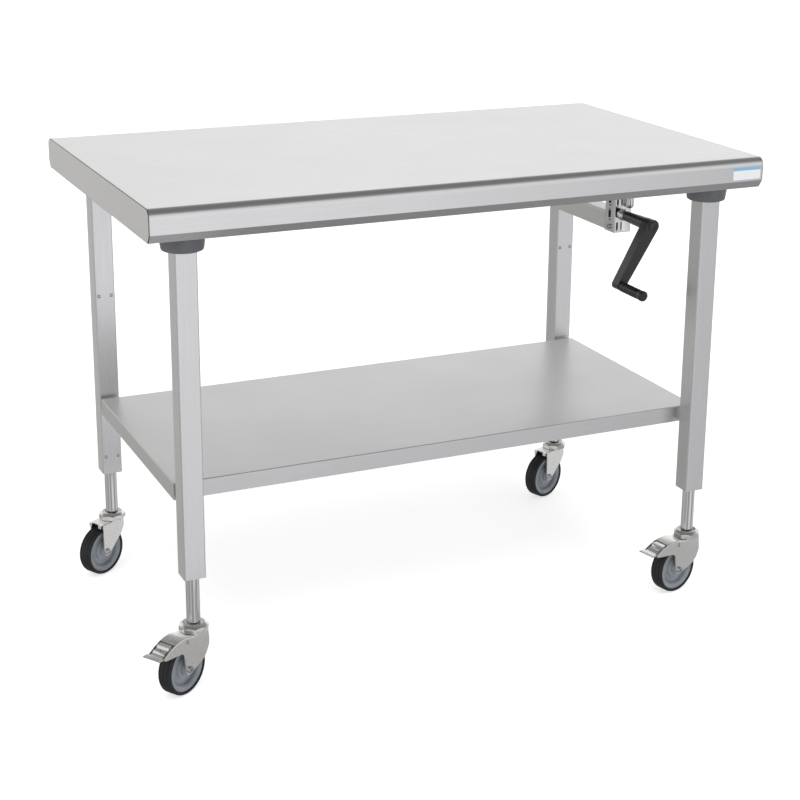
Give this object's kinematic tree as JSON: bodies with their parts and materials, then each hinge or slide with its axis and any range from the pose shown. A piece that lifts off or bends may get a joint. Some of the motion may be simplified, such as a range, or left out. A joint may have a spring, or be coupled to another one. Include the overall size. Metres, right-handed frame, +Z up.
{
  "type": "height-adjustable work table",
  "caption": "Stainless work table on swivel castors with a lower shelf; a hand crank under the worktop raises and lowers it on telescopic legs.",
  "frame": {"origin": "on the floor, under the centre of the worktop", "axes": "+X to the right along the long side, +Y from the side with the crank grip and braked castors towards the back, +Z up"},
  "size_m": [1.23, 0.7044, 0.9],
  "materials": {
    "worktop_steel": "satin, very fine grain",
    "sheet_steel": "brushed along the sheet",
    "tube_steel": "brushed along the tube",
    "core_board": "plain chipboard, hidden",
    "grey_plastic": "moulded, fine texture",
    "bush_plastic": "plain moulded",
    "zinc_screws": "bright zinc plated",
    "plain_steel": "drawn, machined",
    "polished_rod": "polished round tube",
    "bright_chrome": "polished",
    "castor_steel": "pressed, satin",
    "tread_rubber": "moulded rubber tread",
    "wheel_plastic": "moulded, satin",
    "black_plastic": "moulded, satin black"
  },
  "bodies": {
    "table": {"worktop_skin": "worktop_steel", "end_plate_left": "sheet_steel", "end_plate_right": "sheet_steel", "core_board": "core_board", "rail_front": "sheet_steel", "rail_back": "sheet_steel", "leg_tube_front_left": "tube_steel", "leg_tube_front_right": "tube_steel", "leg_tube_back_left": "tube_steel", "leg_tube_back_right": "tube_steel", "leg_collars": "grey_plastic", "guide_bushes": "bush_plastic", "bush_screws": "zinc_screws", "lift_cylinders": "plain_steel", "shelf_tray": "sheet_steel", "shelf_brackets": "sheet_steel", "pump_housing": "bright_chrome", "shaft_seal": "bright_chrome", "check_valve": "bright_chrome", "pump_screws": "zinc_screws", "oil_tank": "tube_steel", "hydraulic_lines": "plain_steel", "line_clips": "bush_plastic"},
    "lift_front_left": {"lift_tube_front_left": "polished_rod", "piston_rod_front_left": "plain_steel", "castor_stem_front_left": "bright_chrome"},
    "lift_front_right": {"lift_tube_front_right": "polished_rod", "piston_rod_front_right": "plain_steel", "castor_stem_front_right": "bright_chrome"},
    "lift_back_left": {"lift_tube_back_left": "polished_rod", "piston_rod_back_left": "plain_steel", "castor_stem_back_left": "bright_chrome"},
    "lift_back_right": {"lift_tube_back_right": "polished_rod", "piston_rod_back_right": "plain_steel", "castor_stem_back_right": "bright_chrome"},
    "castor_front_left": {"castor_fork_front_left": "castor_steel", "castor_axle_front_left": "zinc_screws", "brake_pin_front_left": "zinc_screws"},
    "wheel_front_left": {"tyre_front_left": "tread_rubber", "wheel_hub_front_left": "wheel_plastic"},
    "pedal_front_left": {"brake_pedal_front_left": "bright_chrome"},
    "castor_front_right": {"castor_fork_front_right": "castor_steel", "castor_axle_front_right": "zinc_screws", "brake_pin_front_right": "zinc_screws"},
    "wheel_front_right": {"tyre_front_right": "tread_rubber", "wheel_hub_front_right": "wheel_plastic"},
    "pedal_front_right": {"brake_pedal_front_right": "bright_chrome"},
    "castor_back_left": {"castor_fork_back_left": "castor_steel", "castor_axle_back_left": "zinc_screws"},
    "wheel_back_left": {"tyre_back_left": "tread_rubber", "wheel_hub_back_left": "wheel_plastic"},
    "castor_back_right": {"castor_fork_back_right": "castor_steel", "castor_axle_back_right": "zinc_screws"},
    "wheel_back_right": {"tyre_back_right": "tread_rubber", "wheel_hub_back_right": "wheel_plastic"},
    "crank": {"crank_arm": "black_plastic", "crank_shaft": "plain_steel", "grip_pin": "plain_steel"},
    "grip": {"crank_grip": "black_plastic"},
    "idler_gear": {"idler_gear_shaft": "plain_steel"}
  },
  "joints": [
    {"name": "crank_turn", "type": "hinge", "parent": "table", "child": "crank", "pos_m": [0.523, -0.05, 0.717], "axis": [0, 1, 0], "range_deg": [-5877, 12489]},
    {"name": "idler_gear_turn", "type": "hinge", "parent": "table", "child": "idler_gear", "pos_m": [0.523, 0.04, 0.702], "axis": [0, 1, 0], "range_deg": [-12489, 5877]},
    {"name": "grip_spin", "type": "hinge", "parent": "crank", "child": "grip", "pos_m": [0.4545, -0.14, 0.59835], "axis": [0, 1, 0], "continuous": true},
    {"name": "lift_front_left", "type": "slide", "parent": "table", "child": "lift_front_left", "axis": [0, 0, -1], "range_m": [-0.08, 0.17]},
    {"name": "lift_front_right", "type": "slide", "parent": "table", "child": "lift_front_right", "axis": [0, 0, -1], "range_m": [-0.08, 0.17]},
    {"name": "lift_back_left", "type": "slide", "parent": "table", "child": "lift_back_left", "axis": [0, 0, -1], "range_m": [-0.08, 0.17]},
    {"name": "lift_back_right", "type": "slide", "parent": "table", "child": "lift_back_right", "axis": [0, 0, -1], "range_m": [-0.08, 0.17]},
    {"name": "swivel_front_left", "type": "hinge", "parent": "lift_front_left", "child": "castor_front_left", "pos_m": [-0.523, -0.278, 0.11], "axis": [0, 0, 1], "continuous": true},
    {"name": "roll_front_left", "type": "hinge", "parent": "castor_front_left", "child": "wheel_front_left", "pos_m": [-0.55268, -0.29655, 0.05], "axis": [0.5299, -0.848, 0], "continuous": true},
    {"name": "brake_front_left", "type": "hinge", "parent": "castor_front_left", "child": "pedal_front_left", "pos_m": [-0.55607, -0.29867, 0.105], "axis": [0.5299, -0.848, 0], "range_deg": [0, 8]},
    {"name": "swivel_front_right", "type": "hinge", "parent": "lift_front_right", "child": "castor_front_right", "pos_m": [0.523, -0.278, 0.11], "axis": [0, 0, 1], "continuous": true},
    {"name": "roll_front_right", "type": "hinge", "parent": "castor_front_right", "child": "wheel_front_right", "pos_m": [0.4889, -0.28587, 0.05], "axis": [0.225, -0.9744, 0], "continuous": true},
    {"name": "brake_front_right", "type": "hinge", "parent": "castor_front_right", "child": "pedal_front_right", "pos_m": [0.485, -0.28677, 0.105], "axis": [0.225, -0.9744, 0], "range_deg": [0, 8]},
    {"name": "swivel_back_left", "type": "hinge", "parent": "lift_back_left", "child": "castor_back_left", "pos_m": [-0.523, 0.278, 0.11], "axis": [0, 0, 1], "continuous": true},
    {"name": "roll_back_left", "type": "hinge", "parent": "castor_back_left", "child": "wheel_back_left", "pos_m": [-0.55331, 0.2605, 0.05], "axis": [0.5, -0.866, 0], "continuous": true},
    {"name": "swivel_back_right", "type": "hinge", "parent": "lift_back_right", "child": "castor_back_right", "pos_m": [0.523, 0.278, 0.11], "axis": [0, 0, 1], "continuous": true},
    {"name": "roll_back_right", "type": "hinge", "parent": "castor_back_right", "child": "wheel_back_right", "pos_m": [0.49033, 0.26546, 0.05], "axis": [0.3584, -0.9336, 0], "continuous": true}
  ],
  "couplings": [
    {"joint": "idler_gear_turn", "follows": "crank_turn", "ratio": -1},
    {"joint": "lift_front_left", "follows": "crank_turn", "m_per_rad": 0.00077986},
    {"joint": "lift_front_right", "follows": "crank_turn", "m_per_rad": 0.00077986},
    {"joint": "lift_back_left", "follows": "crank_turn", "m_per_rad": 0.00077986},
    {"joint": "lift_back_right", "follows": "crank_turn", "m_per_rad": 0.00077986}
  ]
}
